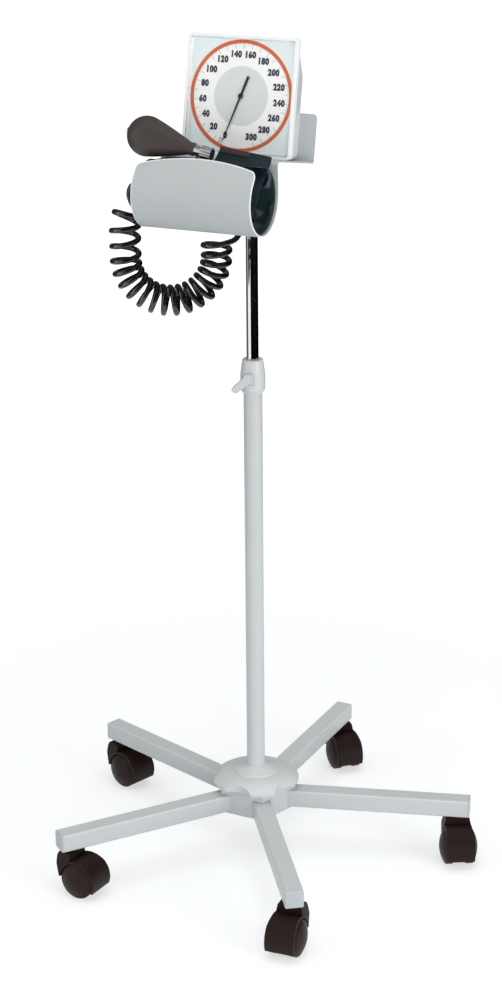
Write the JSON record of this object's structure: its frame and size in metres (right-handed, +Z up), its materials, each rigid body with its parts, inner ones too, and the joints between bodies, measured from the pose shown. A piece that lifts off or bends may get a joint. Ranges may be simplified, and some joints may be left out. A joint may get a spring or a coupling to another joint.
{
  "type": "stand sphygmomanometer",
  "caption": "Wheeled star-base stand with a telescopic pole that carries a square dial blood-pressure gauge, a sheet-metal cuff trough, a rolled cuff, a squeeze bulb and a curly hose.",
  "frame": {"origin": "on the floor, at the pole's axis, under the middle of the star base", "axes": "+Z up along the pole; the dial faces -Y; +X to the right of someone who reads the dial"},
  "size_m": [0.5987, 0.5911, 1.1373],
  "materials": {
    "painted_steel": "satin light grey paint",
    "hub_cover_plastic": "light grey moulded plastic",
    "cap_plastic": "light grey moulded plastic",
    "bright_steel": "zinc-plated steel",
    "collar_plastic": "off-white moulded plastic",
    "guide_plastic": "dark sliding plastic",
    "chrome_plate": "polished chrome plate",
    "movement_brass": "clean machined brass",
    "housing_plastic": "white moulded plastic",
    "frame_plastic": "white glossy plastic",
    "lens_pane": "clear pane",
    "dial_sheet": "white printed aluminium",
    "pointer_metal": "black lacquer",
    "hose_rubber": "glossy black rubber",
    "cuff_cloth": "dark petrol woven nylon",
    "bulb_rubber": "dark grey-brown rubber",
    "caster_plastic": "dark moulded plastic",
    "wheel_plastic": "dark moulded plastic"
  },
  "bodies": {
    "base": {"base_hub": "painted_steel", "hub_cover": "hub_cover_plastic", "leg_1": "painted_steel", "leg_2": "painted_steel", "leg_3": "painted_steel", "leg_4": "painted_steel", "leg_5": "painted_steel", "leg_end_caps": "cap_plastic", "caster_stems": "bright_steel", "base_screws": "bright_steel", "outer_tube": "painted_steel", "column_plug": "bright_steel", "column_bolt": "bright_steel", "clamp_collar": "collar_plastic", "guide_bush": "guide_plastic", "clamp_nut": "movement_brass"},
    "clamp": {"clamp_lever": "collar_plastic", "clamp_screw": "bright_steel"},
    "mast": {"mast_glide": "guide_plastic"},
    "head": {"inner_tube": "chrome_plate", "head_socket": "painted_steel", "bracket_screws": "bright_steel", "cuff_holder": "painted_steel", "gauge_housing": "housing_plastic", "front_frame": "frame_plastic", "lens": "lens_pane", "dial_plate": "dial_sheet", "movement_frame": "movement_brass", "pressure_capsule": "movement_brass", "hose_nipple": "chrome_plate", "curly_hose": "hose_rubber", "cuff": "cuff_cloth", "bulb": "bulb_rubber", "bulb_end_valve": "chrome_plate", "valve_body": "chrome_plate"},
    "release": {"release_wheel": "chrome_plate"},
    "needle": {"pointer": "pointer_metal", "pointer_arbor": "bright_steel"},
    "sector": {"sector_gear": "movement_brass"},
    "pin": {"push_pin": "bright_steel"},
    "caster_1": {"caster_hood_1": "caster_plastic", "caster_axle_1": "bright_steel"},
    "wheel_left_1": {"wheel_left_1": "wheel_plastic"},
    "wheel_right_1": {"wheel_right_1": "wheel_plastic"},
    "caster_2": {"caster_hood_2": "caster_plastic", "caster_axle_2": "bright_steel"},
    "wheel_left_2": {"wheel_left_2": "wheel_plastic"},
    "wheel_right_2": {"wheel_right_2": "wheel_plastic"},
    "caster_3": {"caster_hood_3": "caster_plastic", "caster_axle_3": "bright_steel"},
    "wheel_left_3": {"wheel_left_3": "wheel_plastic"},
    "wheel_right_3": {"wheel_right_3": "wheel_plastic"},
    "caster_4": {"caster_hood_4": "caster_plastic", "caster_axle_4": "bright_steel"},
    "wheel_left_4": {"wheel_left_4": "wheel_plastic"},
    "wheel_right_4": {"wheel_right_4": "wheel_plastic"},
    "caster_5": {"caster_hood_5": "caster_plastic", "caster_axle_5": "bright_steel"},
    "wheel_left_5": {"wheel_left_5": "wheel_plastic"},
    "wheel_right_5": {"wheel_right_5": "wheel_plastic"}
  },
  "joints": [
    {"name": "mast_slide", "type": "slide", "parent": "base", "child": "mast", "axis": [0, 0, 1], "range_m": [-0.2, 0.25]},
    {"name": "head_swivel", "type": "hinge", "parent": "mast", "child": "head", "pos_m": [0, 0, 0.975], "axis": [0, 0, 1], "continuous": true},
    {"name": "clamp_turn", "type": "hinge", "parent": "base", "child": "clamp", "pos_m": [0, 0, 0.692], "axis": [0.1392, -0.9903, 0], "range_deg": [0, 270]},
    {"name": "valve_turn", "type": "hinge", "parent": "head", "child": "release", "pos_m": [0.00148, -0.135, 1.01054], "axis": [0.9826, 0, -0.1857], "range_deg": [0, 270]},
    {"name": "sector_turn", "type": "hinge", "parent": "head", "child": "sector", "pos_m": [0, -0.0186, 1.0336], "axis": [0, -0.9799, 0.1994], "range_deg": [0, 32], "stiffness_Nm_per_rad": 0.005},
    {"name": "pointer_turn", "type": "hinge", "parent": "head", "child": "needle", "pos_m": [0, -0.01333, 1.05947], "axis": [0, 0.9799, -0.1994], "range_deg": [0, 320]},
    {"name": "pin_lift", "type": "slide", "parent": "head", "child": "pin", "axis": [0, 0.1994, 0.9799], "range_m": [0, 0.0039]},
    {"name": "caster_swivel_1", "type": "hinge", "parent": "base", "child": "caster_1", "pos_m": [0.15496, -0.2368, 0.055], "axis": [0, 0, 1], "continuous": true},
    {"name": "wheel_left_spin_1", "type": "hinge", "parent": "caster_1", "child": "wheel_left_1", "pos_m": [0.15566, -0.25679, 0.025], "axis": [0.9994, 0.0349, 0], "continuous": true},
    {"name": "wheel_right_spin_1", "type": "hinge", "parent": "caster_1", "child": "wheel_right_1", "pos_m": [0.15566, -0.25679, 0.025], "axis": [0.9994, 0.0349, 0], "continuous": true},
    {"name": "caster_swivel_2", "type": "hinge", "parent": "base", "child": "caster_2", "pos_m": [0.2731, 0.0742, 0.055], "axis": [0, 0, 1], "continuous": true},
    {"name": "wheel_left_spin_2", "type": "hinge", "parent": "caster_2", "child": "wheel_left_2", "pos_m": [0.28218, 0.05638, 0.025], "axis": [0.891, 0.454, 0], "continuous": true},
    {"name": "wheel_right_spin_2", "type": "hinge", "parent": "caster_2", "child": "wheel_right_2", "pos_m": [0.28218, 0.05638, 0.025], "axis": [0.891, 0.454, 0], "continuous": true},
    {"name": "caster_swivel_3", "type": "hinge", "parent": "base", "child": "caster_3", "pos_m": [0.01382, 0.28266, 0.055], "axis": [0, 0, 1], "continuous": true},
    {"name": "wheel_left_spin_3", "type": "hinge", "parent": "caster_3", "child": "wheel_left_3", "pos_m": [0.02721, 0.2678, 0.025], "axis": [0.7431, 0.6691, 0], "continuous": true},
    {"name": "wheel_right_spin_3", "type": "hinge", "parent": "caster_3", "child": "wheel_right_3", "pos_m": [0.02721, 0.2678, 0.025], "axis": [0.7431, 0.6691, 0], "continuous": true},
    {"name": "caster_swivel_4", "type": "hinge", "parent": "base", "child": "caster_4", "pos_m": [-0.26456, 0.1005, 0.055], "axis": [0, 0, 1], "continuous": true},
    {"name": "wheel_left_spin_4", "type": "hinge", "parent": "caster_4", "child": "wheel_left_4", "pos_m": [-0.24588, 0.09333, 0.025], "axis": [0.3584, 0.9336, 0], "continuous": true},
    {"name": "wheel_right_spin_4", "type": "hinge", "parent": "caster_4", "child": "wheel_right_4", "pos_m": [-0.24588, 0.09333, 0.025], "axis": [0.3584, 0.9336, 0], "continuous": true},
    {"name": "caster_swivel_5", "type": "hinge", "parent": "base", "child": "caster_5", "pos_m": [-0.17733, -0.22055, 0.055], "axis": [0, 0, 1], "continuous": true},
    {"name": "wheel_left_spin_5", "type": "hinge", "parent": "caster_5", "child": "wheel_left_5", "pos_m": [-0.15752, -0.22334, 0.025], "axis": [0.1392, 0.9903, 0], "continuous": true},
    {"name": "wheel_right_spin_5", "type": "hinge", "parent": "caster_5", "child": "wheel_right_5", "pos_m": [-0.15752, -0.22334, 0.025], "axis": [0.1392, 0.9903, 0], "continuous": true}
  ],
  "couplings": [
    {"joint": "pointer_turn", "follows": "sector_turn", "ratio": 10},
    {"joint": "pin_lift", "follows": "sector_turn", "m_per_rad": 0.0069094}
  ]
}
